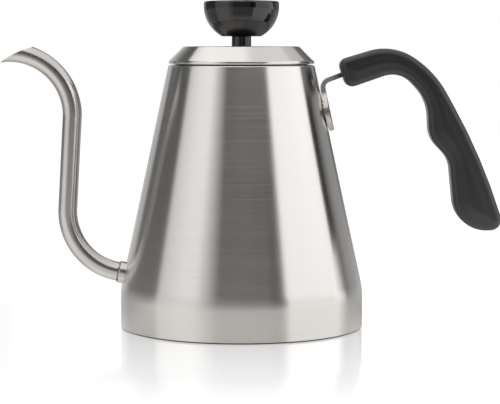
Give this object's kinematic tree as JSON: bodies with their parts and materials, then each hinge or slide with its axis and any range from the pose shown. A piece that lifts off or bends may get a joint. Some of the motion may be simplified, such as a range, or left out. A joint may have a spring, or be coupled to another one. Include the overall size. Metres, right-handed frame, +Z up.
{
  "type": "gooseneck kettle",
  "caption": "Conical stainless steel pour-over kettle with a slim gooseneck spout, a lift-off lid with a round knob, and an open-ended grip on a steel bracket.",
  "frame": {"origin": "middle of the base, on the table it stands on", "axes": "+Z up along the body's axis, +X towards the handle, -X towards the spout"},
  "size_m": [0.2887, 0.14, 0.189],
  "materials": {
    "brushed_steel": "fine horizontal brushing",
    "satin_steel": "satin",
    "fastener_steel": "satin",
    "aluminium": "satin",
    "brass": "satin",
    "grip_black": "matte",
    "knob_black": "gloss"
  },
  "bodies": {
    "kettle": {"body_shell": "brushed_steel", "base_pan": "brushed_steel", "base_cap": "brushed_steel", "heat_spreader": "aluminium", "spout_tube": "satin_steel", "spout_collar": "satin_steel", "handle_bracket": "satin_steel", "bracket_welds": "satin_steel", "grip": "grip_black"},
    "lid": {"lid_cover": "brushed_steel", "lid_skirt": "brushed_steel", "knob": "knob_black", "knob_stem": "knob_black", "knob_insert": "brass", "knob_screw": "fastener_steel", "knob_washer": "fastener_steel"}
  },
  "joints": [
    {"name": "lid_lift", "type": "slide", "parent": "kettle", "child": "lid", "axis": [0, 0, 1], "range_m": [0, 0.06]}
  ]
}
